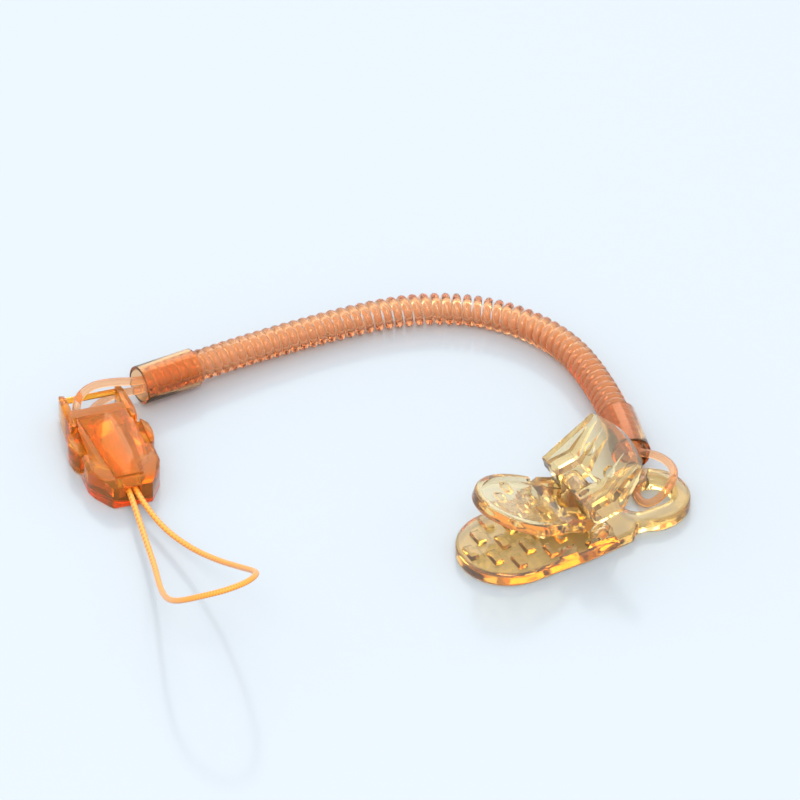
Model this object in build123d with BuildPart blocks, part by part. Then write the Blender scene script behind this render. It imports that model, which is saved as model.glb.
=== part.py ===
"""Spiral tether: a flip-lever clip and a small side-release buckle joined by a coiled cord.

Millimetres. +X runs along the clip from its jaw to its tail, +Y is the hinge axis, +Z is up.
The origin is on the clip's underside, below the jaw's hinge. Everything rests on Z = 0.
"""

import os
from math import cos, radians, sin, tan

from build123d import *

os.makedirs("parts", exist_ok=True)

# Clip base: a plate with a round jaw end and a ring-shaped tail
jaw_end_x = -14.3
jaw_end_radius = 8.8
plate_thickness = 2.6
tail_x = 11.9
tail_radius = 7.2
tail_hole_x = 11.4
tail_hole_length = 8.8
tail_hole_width = 6.4
tail_hole_round = 2.6
waist_half_width = 6.2
waist_round = 0.6
groove_centre = (13.1, 5.3)
groove_length = 7.4
groove_width = 2.3
groove_depth = 1.75
edge_round = 0.75

# Teeth, in staggered rows on both jaws
tooth_length = 3.2
tooth_width = 1.6
tooth_height = 0.8
tooth_draft = 8
facing_tooth_length = 2.4
tooth_row_pitch = 3.0
first_tooth_row_x = -21.4
tooth_rows = 6
odd_row_teeth = [-2.9, 2.9]
even_row_teeth = [-5.7, 0.0, 5.7]
facing_odd_row_teeth = [-6.0, 0.0, 6.0]
facing_even_row_teeth = [-2.9, 2.9]

# Jaw hinge: stub axles in the base's two cheeks
jaw_hinge_x = -0.8
jaw_hinge_z = 4.4
stub_radius = 1.0
hinge_clearance = 0.05
cheek_inner_y = 6.6
cheek_outer_y = 7.9
cheek_radius = 1.9
cheek_foot_x = (-4.4, 2.6)
ear_inner_y = 7.7
ear_depth = 0.8
ear_top = 4.5
fitting_foot = 1.0

# Upper jaw, built on its own tilted plane with its origin on the hinge axis
jaw_open_angle = 23.0
jaw_reach = 21.0
jaw_half_width = 7.9
leaf_half_length = 9.9
leaf_round = 0.5
dish_end = -7.2
jaw_underside = -0.8
jaw_floor = 0.7
jaw_rim_top = 1.5
jaw_rim_width = 1.1
fork_half_gap = 2.7
fork_half_width = 6.3
fork_depth = 6.2
fork_boss_radius = 1.75
ramp_top = 1.9

# Lever hinge: the lever's axle in the base's central post
lever_hinge_x = -1.3
lever_hinge_z = 9.2
post_half_width = 2.3
post_half_depth = 1.8
post_flare = 0.3
knuckle_inner_y = 2.6
knuckle_width = 2.0
knuckle_clearance = 0.5
knuckle_radius = 1.9
axle_radius = 1.0

# Cam lever, standing and leaning back
lever_half_width = 8.1
flange_thickness = 1.2
panel_angle = 45.6
panel_foot = (0.7, 11.4)
panel_side_length = 7.0
panel_crown = 1.8
panel_thickness = 1.5
panel_skirt = 0.4
cam_tip = (-3.6, 10.5)
lever_heel = (2.8, 8.3)
pin_mark_radius = 1.1
pin_mark_depth = 0.6
pin_mark_places = [(-3.4, 2.7), (3.4, 2.7)]

# Spiral cord, its collars and its end loops
wire_diameter = 1.4
coil_diameter = 5.4
collar_outer_radius = 3.3
collar_inner_radius = 2.78
collar_length = 10.5
collar_mouth_depth = 1.3
collar_round = 0.2
strand_offset = 0.95

# Buckle, drawn on its own plane: the strap bar at Y = 0 and the string's end at negative Y
buckle_origin = (-57.9, 65.7, 0)
buckle_across = (0.981, -0.195, 0)
buckle_length = 25.6
buckle_half_width = 5.6
buckle_height = 5.0
ear_thickness = 1.2
bar_depth = 1.0
bar_bottom = 3.4
bar_top = 4.4
slot_end = 4.6
plug_face = 6.6
shoulder_end = 8.6
arm_pivot = (3.9, 7.4)
arm_root_radius = 0.72
arm_bottom = 1.1
arm_top = 3.9
pad_bottom = 0.5
pad_top = 4.5
pad_inner_x = 6.0
tongue_half_width = 1.5
tongue_end = 19.5
tongue_bottom = 1.4
tongue_thickness = 2.2
gap_bottom = 1.0
gap_top = 4.0
mouth = 6.9
body_start = 16.3
plate_half_width = 4.8
tunnel_bottom = 2.2
tunnel_half_width = 1.3
panel_rise = 0.4
knot_radius = 1.5
knot_centre = 21.9
knot_height = 2.5
knot_flat = 1.0
string_diameter = 1.0
string_spacing = 1.1
string_height = 2.95


def mirrored(points):
    """A closed outline from one side's points, given from -X to +X or from +Y to -Y."""
    return points + [(x, -y) for x, y in reversed(points)]


def left_right(points):
    """A closed outline from the right side's points, reflected in X = 0."""
    return points + [(-x, y) for x, y in reversed(points)]


def outline(points):
    """A closed polygon that keeps its own coordinates, added to the sketch being built."""
    return Polygon(*points, align=None)


def corner_radii(points):
    """The arc at each inner corner: 0.45 of the shorter run, over the tangent of half the turn."""
    radii = []
    for before, corner, after in zip(points, points[1:], points[2:]):
        run_in = Vector(*corner) - Vector(*before)
        run_out = Vector(*after) - Vector(*corner)
        half_turn = radians(run_in.get_angle(run_out)) / 2
        radii.append(0.45 * min(run_in.length, run_out.length) / tan(half_turn))
    return radii


def route(name, points):
    """A path of straight runs joined by tangent arcs, with its radii printed."""
    radii = corner_radii(points)
    print(name, "radii", [round(r, 1) for r in radii])
    with BuildLine() as line:
        FilletPolyline(*points, radius=radii)
    path = line.wire()
    print(name, "length", round(path.length, 1))
    return path


def teeth_at(row):
    """The Y positions of the base's teeth in one row: one at the tip, then staggered rows."""
    if row == 0:
        return [0.0]
    return odd_row_teeth if row % 2 else even_row_teeth


def facing_teeth_at(row):
    """The Y positions of the upper jaw's teeth in one row, each beside the base's teeth."""
    if row == 1:
        return [0.0]
    return facing_odd_row_teeth if row % 2 else facing_even_row_teeth


def tooth_row_x(row):
    """The X position of a row of teeth, with the jaw shut."""
    return first_tooth_row_x + tooth_row_pitch * row


# ---------------------------------------------------------------- clip base
plate_side = [
    (jaw_end_x, jaw_end_radius),
    (-4.0, 8.5),
    (5.2, 7.5),
    (6.5, waist_half_width),
    (8.4, waist_half_width),
]

with BuildPart() as clip_base:
    with BuildSketch() as plate:
        with Locations((jaw_end_x, 0)):
            Circle(jaw_end_radius)
        outline(mirrored(plate_side))
        with Locations((tail_x, 0)):
            Circle(tail_radius)
        waist_corners = plate.vertices().filter_by_position(Axis.X, 5.0, 9.5)
        fillet(waist_corners, radius=waist_round)
    extrude(amount=plate_thickness)
    with BuildSketch():
        with Locations((tail_hole_x, 0)):
            RectangleRounded(tail_hole_length, tail_hole_width, tail_hole_round)
    extrude(amount=plate_thickness, mode=Mode.SUBTRACT)
    fillet(clip_base.faces().filter_by(Axis.Z).edges(), radius=edge_round)

    # Relief under the ring, where the end loop passes beneath it
    groove = Plane(origin=(*groove_centre, 0), x_dir=(1, 1, 0), z_dir=(0, 0, 1))
    with BuildSketch(groove):
        Rectangle(groove_length, groove_width)
    extrude(amount=groove_depth, mode=Mode.SUBTRACT)

    # Teeth
    for row in range(tooth_rows):
        with BuildSketch(Plane.XY.offset(plate_thickness)):
            with Locations(*[(tooth_row_x(row), y) for y in teeth_at(row)]):
                Rectangle(tooth_width, tooth_length)
        extrude(amount=tooth_height, taper=tooth_draft)

    # Guide ears beside the upper jaw, and the cheeks that carry it
    for ear_plane in (Plane.XZ.offset(ear_inner_y), Plane.XZ.offset(-ear_inner_y - ear_depth)):
        with BuildSketch(ear_plane):
            outline([(-9.4, fitting_foot), (-8.6, ear_top), (-6.2, ear_top), (-5.4, fitting_foot)])
        extrude(amount=ear_depth)
    for cheek_plane in (Plane.XZ.offset(cheek_inner_y), Plane.XZ.offset(-cheek_outer_y)):
        with BuildSketch(cheek_plane):
            outline([
                (cheek_foot_x[0], fitting_foot),
                (jaw_hinge_x - cheek_radius, jaw_hinge_z),
                (jaw_hinge_x + cheek_radius, jaw_hinge_z),
                (cheek_foot_x[1], fitting_foot),
            ])
            with Locations((jaw_hinge_x, jaw_hinge_z)):
                Circle(cheek_radius)
                Circle(stub_radius + hinge_clearance, mode=Mode.SUBTRACT)
        extrude(amount=cheek_outer_y - cheek_inner_y)

    # Central post that carries the lever
    with BuildSketch(Plane.XZ):
        with Locations((lever_hinge_x, lever_hinge_z)):
            Circle(post_half_depth)
        outline([
            (lever_hinge_x - post_half_depth - post_flare, fitting_foot),
            (lever_hinge_x - post_half_depth, lever_hinge_z),
            (lever_hinge_x + post_half_depth, lever_hinge_z),
            (lever_hinge_x + post_half_depth + post_flare, fitting_foot),
        ])
        with Locations((lever_hinge_x, lever_hinge_z)):
            Circle(axle_radius + hinge_clearance, mode=Mode.SUBTRACT)
    extrude(amount=post_half_width, both=True)
clip_base.part.label = "clip_base"
export_step(clip_base.part, "parts/clip_base.step")

# ---------------------------------------------------------------- upper jaw
tilt = radians(jaw_open_angle)
jaw_plane = Plane(
    origin=(jaw_hinge_x, 0, jaw_hinge_z),
    x_dir=(cos(tilt), 0, -sin(tilt)),
    z_dir=(sin(tilt), 0, cos(tilt)),
)
jaw_side_plane = Plane(
    origin=(jaw_hinge_x, 0, jaw_hinge_z),
    x_dir=(cos(tilt), 0, -sin(tilt)),
    z_dir=(0, -1, 0),
)
leaf_x = leaf_half_length - jaw_reach

with BuildPart() as upper_jaw:
    with BuildSketch(jaw_plane.offset(jaw_underside)):
        with Locations((leaf_x, 0)):
            Ellipse(leaf_half_length, jaw_half_width)
        outline(mirrored([(-8.5, fork_half_width), (0, fork_half_width)]))
    extrude(amount=jaw_rim_top - jaw_underside)
    fillet(upper_jaw.edges().filter_by(GeomType.ELLIPSE), radius=leaf_round)
    with BuildSketch(jaw_plane.offset(jaw_floor)):
        with Locations((leaf_x, 0)):
            Ellipse(leaf_half_length - jaw_rim_width, jaw_half_width - jaw_rim_width)
        outline([(dish_end, 9), (6, 9), (6, -9), (dish_end, -9)])
    extrude(amount=3, mode=Mode.SUBTRACT)

    # Cam ramps, bosses and stub axles
    with BuildSketch(jaw_side_plane):
        outline([(-7.6, 0), (-6.0, ramp_top), (-1.6, ramp_top), (0, fork_boss_radius), (0, 0)])
        Circle(fork_boss_radius)
    extrude(amount=fork_half_width, both=True)
    with BuildSketch(jaw_side_plane):
        Circle(stub_radius)
    extrude(amount=cheek_outer_y, both=True)
    with BuildSketch(jaw_side_plane):
        outline([(-fork_depth, -4), (-fork_depth, 4), (4, 4), (4, -4)])
    extrude(amount=fork_half_gap, both=True, mode=Mode.SUBTRACT)

    # Teeth that fall between the base's teeth when the jaw is shut
    for row in range(1, tooth_rows - 1):
        row_x = tooth_row_x(row) - jaw_hinge_x
        with BuildSketch(jaw_plane.offset(jaw_underside + 0.01)):
            with Locations(*[(row_x, y) for y in facing_teeth_at(row)]):
                Rectangle(tooth_width, facing_tooth_length)
        extrude(amount=-tooth_height, taper=tooth_draft)
upper_jaw.part.label = "upper_jaw"
export_step(upper_jaw.part, "parts/upper_jaw.step")

# ---------------------------------------------------------------- cam lever
lean = radians(panel_angle)
along = (cos(lean), sin(lean))
back = (sin(lean), -cos(lean))
panel_plane = Plane(
    origin=(panel_foot[0], 0, panel_foot[1]),
    x_dir=(0, 1, 0),
    z_dir=(back[0], 0, back[1]),
)
panel_head = (panel_foot[0] + along[0] * panel_side_length,
              panel_foot[1] + along[1] * panel_side_length)
head_back = (panel_head[0] + back[0] * panel_thickness, panel_head[1] + back[1] * panel_thickness)
knuckle_bottom = (lever_hinge_x, lever_hinge_z - knuckle_radius)
knuckle_front = (lever_hinge_x - knuckle_radius, lever_hinge_z)
knuckle_corner = (lever_hinge_x - knuckle_radius * cos(radians(45)),
                  lever_hinge_z - knuckle_radius * sin(radians(45)))

with BuildPart() as cam_lever:
    # Side flanges
    with BuildSketch(Plane.XZ):
        with BuildLine():
            Polyline(knuckle_front, cam_tip, panel_head, head_back, lever_heel, knuckle_bottom)
            ThreePointArc(knuckle_bottom, knuckle_corner, knuckle_front)
        make_face()
    extrude(amount=lever_half_width, both=True)
    with BuildSketch(Plane.XZ):
        outline([
            panel_foot,
            (panel_head[0] + along[0], panel_head[1] + along[1]),
            (panel_head[0] - 6, panel_head[1] + 6),
            (cam_tip[0] - 6, cam_tip[1] + 6),
            (cam_tip[0] - 0.6, cam_tip[1] - 0.1),
        ])
    extrude(amount=lever_half_width - flange_thickness, both=True, mode=Mode.SUBTRACT)

    # Hollow back: a gap beside each knuckle, and one between the two knuckles
    flange_inner_y = lever_half_width - flange_thickness
    knuckle_outer_y = knuckle_inner_y + knuckle_width
    for near_y, far_y in ((-flange_inner_y, -knuckle_outer_y), (-knuckle_inner_y, knuckle_inner_y),
                          (knuckle_outer_y, flange_inner_y)):
        with BuildSketch(Plane.XZ.offset(near_y)):
            outline([
                (-2.0, 6),
                (-2.0, 9.6),
                (0.95, 10.2),
                (panel_head[0] + along[0], panel_head[1] + along[1]),
                (12, 12),
                (8, 6),
            ])
        extrude(amount=far_y - near_y, mode=Mode.SUBTRACT)

    # Panel with its crowned top edge
    with BuildSketch(panel_plane):
        with BuildLine():
            Polyline((-lever_half_width, panel_side_length), (-lever_half_width, -panel_skirt),
                     (lever_half_width, -panel_skirt), (lever_half_width, panel_side_length))
            ThreePointArc((lever_half_width, panel_side_length),
                          (0, panel_side_length + panel_crown),
                          (-lever_half_width, panel_side_length))
        make_face()
    extrude(amount=panel_thickness)

    # Room for the post between the two knuckles
    with BuildSketch(Plane.XZ):
        outline([(-6, 6), (-6, 12), (1.0, 11.3), (1.0, 6)])
        with Locations((lever_hinge_x, lever_hinge_z)):
            Circle(post_half_depth + knuckle_clearance)
    extrude(amount=knuckle_inner_y, both=True, mode=Mode.SUBTRACT)
    with BuildSketch(Plane.XZ):
        with Locations((lever_hinge_x, lever_hinge_z)):
            Circle(axle_radius)
    extrude(amount=knuckle_inner_y + knuckle_clearance, both=True)

    # Ejector-pin marks on the panel's inner face
    with BuildSketch(panel_plane):
        with Locations(*pin_mark_places):
            Circle(pin_mark_radius)
    extrude(amount=pin_mark_depth, mode=Mode.SUBTRACT)
cam_lever.part.label = "cam_lever"
export_step(cam_lever.part, "parts/cam_lever.step")

# ---------------------------------------------------------------- spiral cord
coil_points = [
    (-48.2, 63.9, 3.9),
    (-37.2, 64.3, 3.5),
    (-28.2, 64.5, 3.1),
    (-19.0, 64.2, 2.85),
    (-10.0, 63.5, 2.75),
    (-1.5, 62.0, 2.8),
    (6.0, 59.0, 2.75),
    (12.4, 53.7, 2.8),
    (16.8, 46.8, 2.85),
    (18.9, 39.0, 2.95),
    (18.7, 30.8, 3.1),
    (17.2, 20.6, 3.25),
    (14.4, 10.4, 3.45),
]

coil_route = route("coil_cord", coil_points)
with BuildPart() as coil_cord:
    with BuildSketch(Plane(origin=coil_route @ 0, z_dir=coil_route % 0)):
        Circle(coil_diameter / 2)
    sweep(path=coil_route)
coil_cord.part.label = "coil_cord"
export_step(coil_cord.part, "parts/coil_cord.step")


def end_face(position, inward):
    """The coil's end face: local Z points into the coil and local Y points up."""
    across = Vector(0, 0, 1).cross(inward)
    return Plane(origin=position, x_dir=across, z_dir=inward)


buckle_end_face = end_face(coil_route @ 0, coil_route % 0)
clip_end_face = end_face(coil_route @ 1, -(coil_route % 1))

with BuildPart() as collar_buckle_end:
    with BuildSketch(buckle_end_face.offset(-collar_mouth_depth)):
        Circle(collar_outer_radius)
        Circle(collar_inner_radius, mode=Mode.SUBTRACT)
    extrude(amount=collar_length)
    fillet(collar_buckle_end.edges().filter_by(GeomType.CIRCLE), radius=collar_round)
collar_buckle_end.part.label = "collar_buckle_end"
export_step(collar_buckle_end.part, "parts/collar_buckle_end.step")

with BuildPart() as collar_clip_end:
    with BuildSketch(clip_end_face.offset(-collar_mouth_depth)):
        Circle(collar_outer_radius)
        Circle(collar_inner_radius, mode=Mode.SUBTRACT)
    extrude(amount=collar_length)
    fillet(collar_clip_end.edges().filter_by(GeomType.CIRCLE), radius=collar_round)
collar_clip_end.part.label = "collar_clip_end"
export_step(collar_clip_end.part, "parts/collar_clip_end.step")

def at_collar(face, height):
    """Two points on a strand in a collar: on the coil's end face, and just past the mouth."""
    return [tuple(face.from_local_coords(Vector(0, height, z)))
            for z in (0, -collar_mouth_depth - 0.2)]


# Each end loop leaves its collar, goes round its bar or ring and comes back below.
# Its first and last runs are square to the coil's end face.
clip_loop_points = at_collar(clip_end_face, strand_offset) + [
    (17.0, 5.4, 5.0),
    (17.8, 1.6, 5.0),
    (16.3, -1.1, 4.5),
    (13.7, -1.6, 2.3),
    (11.6, -0.7, 0.8),
    (10.9, 1.5, 0.75),
    (12.0, 4.1, 0.75),
    (14.9, 6.8, 0.85),
] + at_collar(clip_end_face, -strand_offset)[::-1]

buckle_loop_points = at_collar(buckle_end_face, strand_offset) + [
    (-53.4, 65.2, 5.3),
    (-57.0, 65.9, 5.5),
    (-59.9, 65.0, 5.4),
    (-61.5, 63.6, 4.4),
    (-61.8, 62.8, 2.5),
    (-60.7, 62.8, 0.85),
    (-58.9, 64.4, 0.75),
    (-56.4, 66.0, 0.9),
    (-53.1, 66.2, 1.8),
] + at_collar(buckle_end_face, -strand_offset)[::-1]

clip_loop_route = route("end_loop_clip", clip_loop_points)
with BuildPart() as end_loop_clip:
    with BuildSketch(Plane(origin=clip_loop_route @ 0, z_dir=clip_loop_route % 0)):
        Circle(wire_diameter / 2)
    sweep(path=clip_loop_route)
end_loop_clip.part.label = "end_loop_clip"
export_step(end_loop_clip.part, "parts/end_loop_clip.step")

buckle_loop_route = route("end_loop_buckle", buckle_loop_points)
with BuildPart() as end_loop_buckle:
    with BuildSketch(Plane(origin=buckle_loop_route @ 0, z_dir=buckle_loop_route % 0)):
        Circle(wire_diameter / 2)
    sweep(path=buckle_loop_route)
end_loop_buckle.part.label = "end_loop_buckle"
export_step(end_loop_buckle.part, "parts/end_loop_buckle.step")

# ---------------------------------------------------------------- buckle plug
buckle_plane = Plane(origin=buckle_origin, x_dir=buckle_across, z_dir=(0, 0, 1))
buckle_side = Plane(origin=buckle_origin, x_dir=buckle_plane.y_dir, z_dir=buckle_plane.x_dir)

with BuildPart() as buckle_plug:
    # Ears, base block and shoulders
    with BuildSketch(buckle_plane):
        outline(left_right([
            (buckle_half_width - ear_thickness, 0),
            (buckle_half_width - 0.3, 0.4),
            (buckle_half_width, -2.4),
            (5.9, -plug_face),
            (5.7, -shoulder_end),
            (4.75, -shoulder_end),
            (4.75, -plug_face),
        ]))
    extrude(amount=buckle_height)
    with BuildSketch(buckle_plane):
        outline(left_right([
            (buckle_half_width - ear_thickness, 1),
            (buckle_half_width - ear_thickness, -slot_end),
        ]))
    extrude(amount=buckle_height, mode=Mode.SUBTRACT)

    # The ears fall away towards the strap bar, and the base block slopes up to the mouth
    with BuildSketch(buckle_side):
        outline([(1, 4.4), (-2.2, 5.1), (-2.2, 6), (1, 6)])
        outline([(1, -1), (1, 0.9), (-2.4, 0), (-2.4, -1)])
    extrude(amount=8, both=True, mode=Mode.SUBTRACT)
    upright_edges = buckle_plug.edges().filter_by(Axis.Z)
    fillet(upright_edges.group_by(Axis(buckle_origin, buckle_plane.y_dir))[-1], radius=0.3)

    # Strap bar
    with BuildSketch(buckle_side):
        with Locations((-bar_depth / 2, (bar_bottom + bar_top) / 2)):
            RectangleRounded(bar_depth, bar_top - bar_bottom, 0.4)
    extrude(amount=buckle_half_width - ear_thickness + 0.2, both=True)

    # Guide tongue
    with BuildSketch(buckle_plane.offset(tongue_bottom)):
        outline(left_right([
            (tongue_half_width, -plug_face + 0.2),
            (tongue_half_width, -tongue_end + 1.6),
            (0.8, -tongue_end),
        ]))
    extrude(amount=tongue_thickness)
buckle_plug.part.label = "buckle_plug"
export_step(buckle_plug.part, "parts/buckle_plug.step")

# ---------------------------------------------------------------- release arms
arm_outline = [
    (3.2, -arm_pivot[1]),
    (3.3, -12.0),
    (4.0, -14.6),
    (5.0, -15.6),
    (6.1, -15.6),
    (6.9, -14.7),
    (7.2, -12.6),
    (7.0, -10.6),
    (6.2, -9.3),
    (4.6, -9.0),
    (4.5, -arm_pivot[1]),
]
pad_outline = [
    (pad_inner_x, -15.6),
    (6.2, -15.6),
    (6.9, -14.7),
    (7.2, -12.6),
    (7.0, -10.6),
    (6.2, -9.3),
    (pad_inner_x, -9.25),
]
for side, arm_name in ((-1, "release_arm_left"), (1, "release_arm_right")):
    with BuildPart() as release_arm:
        with BuildSketch(buckle_plane.offset(arm_bottom)):
            outline([(side * x, y) for x, y in arm_outline])
            with Locations((side * arm_pivot[0], -arm_pivot[1])):
                Circle(arm_root_radius)
        extrude(amount=arm_top - arm_bottom)
        with BuildSketch(buckle_plane.offset(pad_bottom)):
            outline([(side * x, y) for x, y in pad_outline])
        extrude(amount=pad_top - pad_bottom)
    release_arm.part.label = arm_name
    export_step(release_arm.part, f"parts/{arm_name}.step")

# ---------------------------------------------------------------- buckle socket
socket_side = [
    (4.4, -mouth),
    (4.55, -8.9),
    (plate_half_width, -9.4),
    (plate_half_width, -body_start + 0.6),
    (5.3, -body_start),
    (6.2, -body_start),
    (6.2, -20.2),
    (5.6, -22.0),
    (3.4, -buckle_length + 0.1),
    (2.9, -buckle_length),
]
top_fall = radians(1.2)
socket_top = Plane(
    origin=Vector(*buckle_origin) + buckle_plane.y_dir * -mouth + Vector(0, 0, 5.1),
    x_dir=buckle_across,
    z_dir=Vector(0, 0, 1) * cos(top_fall) - buckle_plane.y_dir * sin(top_fall),
)

with BuildPart() as buckle_socket:
    with BuildSketch(buckle_plane):
        outline(left_right(socket_side))
    extrude(amount=buckle_height + 0.4)
    with BuildSketch(buckle_side):
        outline([
            (-mouth + 1, 0),
            (-mouth + 1, 5.15),
            (-mouth, 5.1),
            (-23.6, 4.75),
            (-buckle_length - 1, 4.0),
            (-buckle_length - 1, 0.4),
            (-24.6, 0),
        ])
    extrude(amount=10, both=True, mode=Mode.INTERSECT)
    top_edges = buckle_socket.faces().sort_by(Axis.Z)[-1].edges()
    chamfer(top_edges.sort_by(lambda edge: abs(buckle_plane.to_local_coords(edge.center()).X))[-4:], 0.5)

    # Raised panel on the top
    with BuildSketch(socket_top.offset(-0.2)):
        outline(left_right([(4.1, -0.2), (2.4, -16.6)]))
    extrude(amount=0.2 + panel_rise)

    # Gap between the two plates, and the cavity for the tongue and the knot
    with BuildSketch(buckle_plane.offset(gap_bottom)):
        outline(left_right([
            (9, 0),
            (9, -body_start),
            (4.7, -body_start),
            (4.5, -18.6),
            (2.0, -20.4),
            (1.9, -23.2),
        ]))
    extrude(amount=gap_top - gap_bottom, mode=Mode.SUBTRACT)

    # Tunnel in the end wall, where the string comes out
    with BuildSketch(buckle_plane.offset(tunnel_bottom)):
        outline(left_right([(tunnel_half_width, -22.9), (tunnel_half_width, -buckle_length - 1)]))
    extrude(amount=gap_top - tunnel_bottom, mode=Mode.SUBTRACT)
buckle_socket.part.label = "buckle_socket"
export_step(buckle_socket.part, "parts/buckle_socket.step")

# ---------------------------------------------------------------- string loop and its knot
knot_origin = buckle_plane.from_local_coords(Vector(0, -knot_centre, knot_height))
knot_face = -knot_centre - knot_flat

with BuildPart() as strap_knot:
    with Locations(knot_origin):
        Sphere(knot_radius)
    with BuildSketch(buckle_side):
        outline([(knot_face, -1), (knot_face, 6), (knot_face - 4, 6), (knot_face - 4, -1)])
    extrude(amount=5, both=True, mode=Mode.SUBTRACT)
strap_knot.part.label = "strap_knot"
export_step(strap_knot.part, "parts/strap_knot.step")

string_start = buckle_plane.from_local_coords(Vector(-string_spacing / 2, knot_face, string_height))
string_end = buckle_plane.from_local_coords(Vector(string_spacing / 2, knot_face, string_height))
string_points = [
    tuple(string_start),
    (-63.7, 39.8, 3.0),
    (-66.4, 30.6, 2.9),
    (-69.4, 20.8, 4.0),
    (-73.2, 11.6, 7.2),
    (-75.9, 4.0, 11.5),
    (-76.6, -1.4, 15.4),
    (-75.0, -5.3, 18.5),
    (-71.6, -8.2, 20.6),
    (-67.4, -8.3, 20.9),
    (-64.1, -5.4, 19.2),
    (-62.4, -0.9, 15.9),
    (-61.6, 5.6, 11.7),
    (-61.4, 13.2, 7.4),
    (-61.9, 22.0, 3.8),
    (-62.7, 30.8, 2.3),
    (-62.6, 39.3, 2.9),
    tuple(string_end),
]

string_route = route("strap_cord", string_points)
with BuildPart() as strap_cord:
    with BuildSketch(Plane(origin=string_route @ 0, z_dir=string_route % 0)):
        Circle(string_diameter / 2)
    sweep(path=string_route)
strap_cord.part.label = "strap_cord"
export_step(strap_cord.part, "parts/strap_cord.step")
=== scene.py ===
"""Spiral tether with a flip-lever clip: materials, cords, floor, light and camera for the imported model."""
from math import cos, pi, radians, sin

import bpy
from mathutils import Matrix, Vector


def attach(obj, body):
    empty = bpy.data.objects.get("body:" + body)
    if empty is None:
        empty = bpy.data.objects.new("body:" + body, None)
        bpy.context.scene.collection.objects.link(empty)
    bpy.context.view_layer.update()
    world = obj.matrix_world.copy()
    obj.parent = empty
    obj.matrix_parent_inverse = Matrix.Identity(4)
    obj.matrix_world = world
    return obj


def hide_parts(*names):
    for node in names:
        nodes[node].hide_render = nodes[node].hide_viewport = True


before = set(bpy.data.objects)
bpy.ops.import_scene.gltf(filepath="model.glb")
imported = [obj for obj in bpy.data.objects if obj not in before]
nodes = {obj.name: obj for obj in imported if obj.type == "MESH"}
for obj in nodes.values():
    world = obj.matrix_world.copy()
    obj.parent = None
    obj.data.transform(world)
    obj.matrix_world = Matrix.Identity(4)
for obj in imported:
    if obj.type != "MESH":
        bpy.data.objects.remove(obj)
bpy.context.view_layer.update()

MM = 0.001

# ---------------------------------------------------------------- sizes and routes, with lengths in millimetres
WIRE_DIAMETER = 1.4
HELIX_RADIUS = 2.0
HELIX_TURNS = 65
POINTS_PER_TURN = 18
PITCH_CHANGE = 0.07
TAPER_TURNS = 0.75
COLLAR_MOUTH_DEPTH = 1.3
COLLAR_MOUTH_MARGIN = 0.2
STRAND_OFFSET = 0.95
FREE_END_DEPTH = 0.5
JOINED_END_DEPTH = 0.4
STRING_DIAMETER = 1.0

COIL_ROUTE = [
    (-48.2, 63.9, 3.9), (-37.2, 64.3, 3.5), (-28.2, 64.5, 3.1), (-19.0, 64.2, 2.85),
    (-10.0, 63.5, 2.75), (-1.5, 62.0, 2.8), (6.0, 59.0, 2.75), (12.4, 53.7, 2.8),
    (16.8, 46.8, 2.85), (18.9, 39.0, 2.95), (18.7, 30.8, 3.1), (17.2, 20.6, 3.25),
    (14.4, 10.4, 3.45),
]
CLIP_LOOP_ROUTE = [
    (17.0, 5.4, 5.0), (17.8, 1.6, 5.0), (16.3, -1.1, 4.5), (13.7, -1.6, 2.3),
    (11.6, -0.7, 0.8), (10.9, 1.5, 0.75), (12.0, 4.1, 0.75), (14.9, 6.8, 0.85),
]
BUCKLE_LOOP_ROUTE = [
    (-53.4, 65.2, 5.3), (-57.0, 65.9, 5.5), (-59.9, 65.0, 5.4), (-61.5, 63.6, 4.4),
    (-61.8, 62.8, 2.5), (-60.7, 62.8, 0.85), (-58.9, 64.4, 0.75), (-56.4, 66.0, 0.9),
    (-53.1, 66.2, 1.8),
]
STRING_ROUTE = [
    (-63.7, 39.8, 3.0), (-66.4, 30.6, 2.9), (-69.4, 20.8, 4.0), (-73.2, 11.6, 7.2),
    (-75.9, 4.0, 11.5), (-76.6, -1.4, 15.4), (-75.0, -5.3, 18.5), (-71.6, -8.2, 20.6),
    (-67.4, -8.3, 20.9), (-64.1, -5.4, 19.2), (-62.4, -0.9, 15.9), (-61.6, 5.6, 11.7),
    (-61.4, 13.2, 7.4), (-61.9, 22.0, 3.8), (-62.7, 30.8, 2.3), (-62.6, 39.3, 2.9),
]
STRING_ENDS = ((-62.91, 43.35, 2.95), (-61.83, 43.12, 2.95))


# ---------------------------------------------------------------- materials
PLASTIC_IOR = 1.4
WELD_DISTANCE = 0.002
EDGE_WIDTH = 0.12
CORNER_ANGLE = radians(35)
SHARP_NODES = {"cam_lever"}


def new_material(name):
    """A new material, its shader nodes and its links."""
    material = bpy.data.materials.new(name)
    material.use_nodes = True
    return material, material.node_tree.nodes, material.node_tree.links


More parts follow.
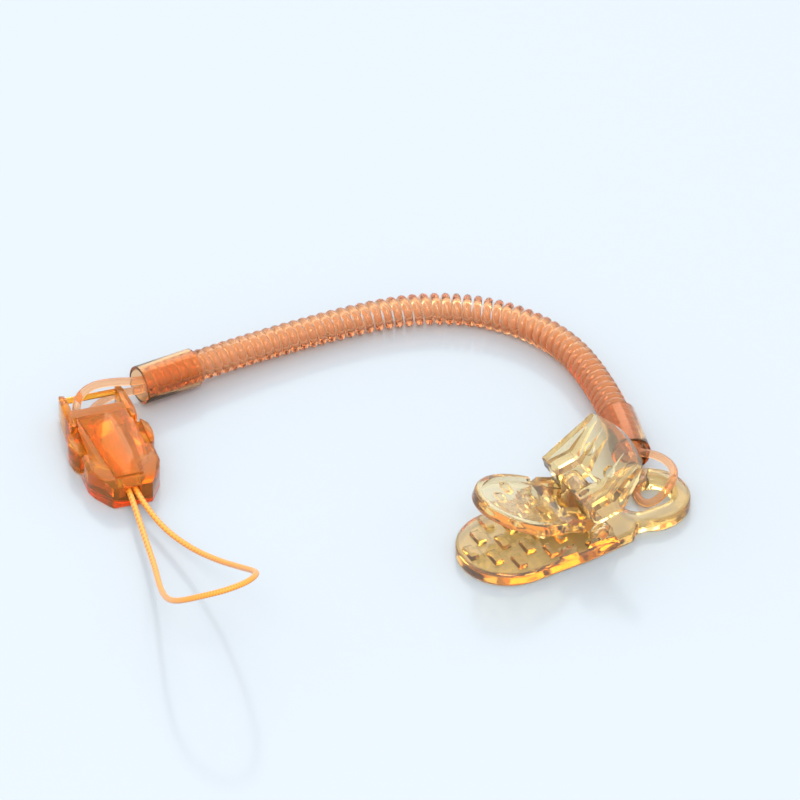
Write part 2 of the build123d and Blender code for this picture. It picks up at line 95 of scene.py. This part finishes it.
def clear_plastic(name, surface, absorbed, density, roughness=0.03, transmission=1.0, ripple=0.0):
    """A clear plastic that takes its colour from its depth, with a slightly uneven moulded surface."""
    material, graph, links = new_material(name)
    shader = graph["Principled BSDF"]
    shader.inputs["Base Color"].default_value = (*surface, 1.0)
    shader.inputs["Roughness"].default_value = roughness
    shader.inputs["IOR"].default_value = PLASTIC_IOR
    shader.inputs["Specular Tint"].default_value = (*surface, 1.0)
    shader.inputs["Transmission Weight"].default_value = transmission
    depth = graph.new("ShaderNodeVolumeAbsorption")
    depth.inputs["Color"].default_value = (*absorbed, 1.0)
    depth.inputs["Density"].default_value = density
    links.new(depth.outputs["Volume"], graph["Material Output"].inputs["Volume"])
    if ripple:
        place = graph.new("ShaderNodeTexCoord")
        noise = graph.new("ShaderNodeTexNoise")
        noise.inputs["Scale"].default_value = 900.0
        noise.inputs["Detail"].default_value = 1.0
        bump = graph.new("ShaderNodeBump")
        bump.inputs["Strength"].default_value = ripple
        bump.inputs["Distance"].default_value = 0.0002
        links.new(place.outputs["Object"], noise.inputs["Vector"])
        links.new(noise.outputs["Fac"], bump.inputs["Height"])
        links.new(bump.outputs["Normal"], shader.inputs["Normal"])
    return material


def string_material():
    """A shiny braided string: two crossed sets of diagonal ridges, with painted shade darkening the grooves
    between them.
    """
    material, graph, links = new_material("string")
    shader = graph["Principled BSDF"]
    shader.inputs["Roughness"].default_value = 0.32
    shader.inputs["Sheen Weight"].default_value = 0.1
    place = graph.new("ShaderNodeTexCoord")
    heights = []
    for direction in (1.0, -1.0):
        turn = graph.new("ShaderNodeMapping")
        turn.inputs["Scale"].default_value = (90.0, direction, 1.0)
        wave = graph.new("ShaderNodeTexWave")
        wave.bands_direction = "DIAGONAL"
        wave.inputs["Scale"].default_value = 1.0
        links.new(place.outputs["UV"], turn.inputs["Vector"])
        links.new(turn.outputs["Vector"], wave.inputs["Vector"])
        heights.append(wave.outputs["Fac"])
    weave = graph.new("ShaderNodeMath")
    weave.operation = "MAXIMUM"
    links.new(heights[0], weave.inputs[0])
    links.new(heights[1], weave.inputs[1])
    # painted shade: the colour runs from dark in the low grooves of the weave to bright on its ridges
    groove_shade_ramp = graph.new("ShaderNodeValToRGB")
    groove_shade_ramp.color_ramp.elements[0].color = (0.50, 0.14, 0.006, 1)
    groove_shade_ramp.color_ramp.elements[1].color = (0.92, 0.34, 0.03, 1)
    bump = graph.new("ShaderNodeBump")
    bump.inputs["Strength"].default_value = 0.35
    bump.inputs["Distance"].default_value = 0.00008
    links.new(weave.outputs[0], groove_shade_ramp.inputs["Fac"])
    links.new(groove_shade_ramp.outputs["Color"], shader.inputs["Base Color"])
    links.new(weave.outputs[0], bump.inputs["Height"])
    links.new(bump.outputs["Normal"], shader.inputs["Normal"])
    return material


clip_plastic = clear_plastic("clip_plastic", (1.0, 0.96, 0.86), (0.978, 0.73, 0.0), 270.0,
                             transmission=0.95, ripple=0.03)
buckle_plastic = clear_plastic("buckle_plastic", (1.0, 0.52, 0.12), (0.999, 0.87, 0.0), 850.0,
                               roughness=0.04, transmission=0.89, ripple=0.03)
coil_plastic = clear_plastic("coil_plastic", (1.0, 0.68, 0.46), (0.999, 0.62, 0.2), 340.0,
                             roughness=0.05, transmission=0.92)
collar_plastic = clear_plastic("collar_plastic", (1.0, 0.68, 0.42), (0.999, 0.68, 0.1), 300.0,
                               roughness=0.03, transmission=0.98)
braided_string = string_material()

MATERIALS = {
    "clip_base": clip_plastic, "upper_jaw": clip_plastic, "cam_lever": clip_plastic,
    "buckle_plug": buckle_plastic, "buckle_socket": buckle_plastic,
    "release_arm_left": buckle_plastic, "release_arm_right": buckle_plastic,
    "coil_cord": coil_plastic, "end_loop_clip": coil_plastic, "end_loop_buckle": coil_plastic,
    "collar_clip_end": collar_plastic, "collar_buckle_end": collar_plastic,
    "strap_knot": braided_string, "strap_cord": braided_string,
}


def dress(node, material):
    """Gives a node its material, smooth faces and slightly rounded edges, or sharp ones for SHARP_NODES."""
    piece = nodes[node]
    piece.data.materials.clear()
    piece.data.materials.append(material)
    for face in piece.data.polygons:
        face.use_smooth = True
    weld = piece.modifiers.new("weld", "WELD")
    weld.merge_threshold = WELD_DISTANCE * MM
    if node in SHARP_NODES:
        split = piece.modifiers.new("corners", "EDGE_SPLIT")
        split.split_angle = CORNER_ANGLE
        split.use_edge_sharp = False
    else:
        bevel = piece.modifiers.new("edges", "BEVEL")
        bevel.width = EDGE_WIDTH * MM
        bevel.segments = 2
        bevel.limit_method = "ANGLE"
        bevel.angle_limit = CORNER_ANGLE
        bevel.harden_normals = True


for node, material in MATERIALS.items():
    dress(node, material)


# ---------------------------------------------------------------- cords
def smooth_line(corners, steps=14):
    """Points on the quadratic B-spline of a control polygon that starts and ends at its end points."""
    corners = [Vector(c) for c in corners]
    middles = [corners[0]] + [(a + b) / 2 for a, b in zip(corners[1:], corners[2:-1])] + [corners[-1]]
    points = []
    for start, corner, end in zip(middles, corners[1:-1], middles[1:]):
        for i in range(steps):
            t = i / steps
            points.append(start * (1 - t) ** 2 + corner * 2 * t * (1 - t) + end * t * t)
    return points + [corners[-1]]


def distances(points):
    """How far along the line each point is."""
    total = [0.0]
    for a, b in zip(points, points[1:]):
        total.append(total[-1] + (b - a).length)
    return total


def in_collar(position, inward, height, depths):
    """Points on a strand in a collar, at this height and these depths behind the coil's end face."""
    up = inward.cross(Vector((0, 0, 1)).cross(inward).normalized())
    return [position + up * height - inward * depth for depth in depths]


def helix_points(line):
    """The wire's turns round a centreline, with the turns a little closer at both ends."""
    reach = distances(line)
    length = reach[-1]
    across = Vector((0, 0, 1)).cross(line[1] - line[0]).normalized()
    frames = []
    for i, point in enumerate(line):
        forward = (line[min(i + 1, len(line) - 1)] - line[max(i - 1, 0)]).normalized()
        across = (across - forward * across.dot(forward)).normalized()
        frames.append((point, across.copy(), forward.cross(across)))
    points = []
    count = HELIX_TURNS * POINTS_PER_TURN
    span = 0
    for k in range(count + 1):
        t = k / count
        s = length * (t - PITCH_CHANGE * sin(2 * pi * t) / (2 * pi))
        while span < len(line) - 2 and reach[span + 1] < s:
            span += 1
        part = (s - reach[span]) / (reach[span + 1] - reach[span])
        here, ahead = frames[span], frames[span + 1]
        centre, side, up = (a.lerp(b, part) for a, b in zip(here, ahead))
        turn = pi / 2 + 2 * pi * k / POINTS_PER_TURN
        nearest_end = min(k, count - k) / POINTS_PER_TURN
        radius = STRAND_OFFSET + (HELIX_RADIUS - STRAND_OFFSET) * min(1.0, nearest_end / TAPER_TURNS)
        points.append(centre + (side * cos(turn) + up * sin(turn)) * radius)
    return points


def tube(name, points, diameter, material, kind="POLY"):
    """A round cord that follows one open spline, with points in millimetres."""
    data = bpy.data.curves.new(name, "CURVE")
    data.dimensions = "3D"
    data.bevel_depth = diameter / 2 * MM
    data.bevel_resolution = 5
    data.use_fill_caps = True
    spline = data.splines.new(kind)
    spline.points.add(len(points) - 1)
    for target, point in zip(spline.points, points):
        target.co = (point[0] * MM, point[1] * MM, point[2] * MM, 1.0)
    if kind == "NURBS":
        spline.order_u = 3
        spline.use_endpoint_u = True
        spline.resolution_u = 8
    spline.use_smooth = True
    data.materials.append(material)
    piece = bpy.data.objects.new(name, data)
    bpy.context.scene.collection.objects.link(piece)
    return piece


centreline = smooth_line(COIL_ROUTE)
buckle_end, buckle_inward = centreline[0], (centreline[1] - centreline[0]).normalized()
clip_end, clip_inward = centreline[-1], (centreline[-2] - centreline[-1]).normalized()
past_mouth = COLLAR_MOUTH_DEPTH + COLLAR_MOUTH_MARGIN

helix = helix_points(centreline)
clip_loop = smooth_line(
    in_collar(clip_end, clip_inward, -STRAND_OFFSET, (FREE_END_DEPTH, past_mouth))
    + [Vector(p) for p in reversed(CLIP_LOOP_ROUTE)]
    + in_collar(clip_end, clip_inward, STRAND_OFFSET, (past_mouth, JOINED_END_DEPTH)), steps=8)
buckle_loop = smooth_line(
    in_collar(buckle_end, buckle_inward, STRAND_OFFSET, (JOINED_END_DEPTH, past_mouth))
    + [Vector(p) for p in BUCKLE_LOOP_ROUTE]
    + in_collar(buckle_end, buckle_inward, -STRAND_OFFSET, (past_mouth, FREE_END_DEPTH)), steps=8)

spiral_line = clip_loop + list(reversed(helix)) + buckle_loop
spiral = tube("spiral_cord", spiral_line, WIRE_DIAMETER, coil_plastic)
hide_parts("coil_cord", "end_loop_clip", "end_loop_buckle")
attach(spiral, "tether")

string_line = [STRING_ENDS[0], *STRING_ROUTE, STRING_ENDS[1]]
loop = tube("string_loop", string_line, STRING_DIAMETER, braided_string, kind="NURBS")
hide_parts("strap_cord")
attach(loop, "socket")

# ---------------------------------------------------------------- floor, light and camera
ground_material, graph, _ = new_material("floor")
ground = graph["Principled BSDF"]
ground.inputs["Base Color"].default_value = (0.398, 0.428, 0.452, 1)
ground.inputs["Roughness"].default_value = 0.16
ground.inputs["IOR"].default_value = 1.3
bpy.ops.mesh.primitive_plane_add(size=6, location=(0, 0, -0.05 * MM))
floor = bpy.context.object
floor.name = "floor"
floor.data.materials.append(ground_material)

world = bpy.data.worlds.new("room")
bpy.context.scene.world = world
world.use_nodes = True
sky = world.node_tree.nodes["Background"]
sky.inputs["Color"].default_value = (0.88, 0.94, 1.0, 1)
sky.inputs["Strength"].default_value = 1.42


def soft_light(name, position, size, power, colour):
    """A square light that faces the model."""
    data = bpy.data.lights.new(name, "AREA")
    data.size = size
    data.energy = power
    data.color = colour
    light = bpy.data.objects.new(name, data)
    light.location = position
    light.rotation_euler = (-Vector(position)).to_track_quat("-Z", "Y").to_euler()
    bpy.context.scene.collection.objects.link(light)


soft_light("key", (-0.39, -0.72, 1.01), 0.6, 9.0, (1.0, 0.98, 0.96))
soft_light("back", (0.35, 0.75, 0.85), 0.7, 4.2, (1.0, 0.98, 0.96))
soft_light("fill", (-0.7, 0.3, 0.7), 0.7, 1.4, (0.92, 0.96, 1.0))

CAMERA_HEADING = radians(28.5)
CAMERA_ELEVATION = radians(39.0)
CAMERA_DISTANCE = 3.336
aim = Vector((-0.0108, 0.0440, 0.0))
outward = Vector((
    -sin(CAMERA_HEADING) * cos(CAMERA_ELEVATION),
    -cos(CAMERA_HEADING) * cos(CAMERA_ELEVATION),
    sin(CAMERA_ELEVATION),
))
lens = bpy.data.cameras.new("camera")
lens.lens = 900
lens.sensor_width = 36
lens.dof.use_dof = False
camera = bpy.data.objects.new("camera", lens)
camera.location = aim + outward * CAMERA_DISTANCE
camera.rotation_euler = (-outward).to_track_quat("-Z", "Y").to_euler()
bpy.context.scene.collection.objects.link(camera)
bpy.context.scene.camera = camera

bpy.context.scene.view_settings.view_transform = "Standard"
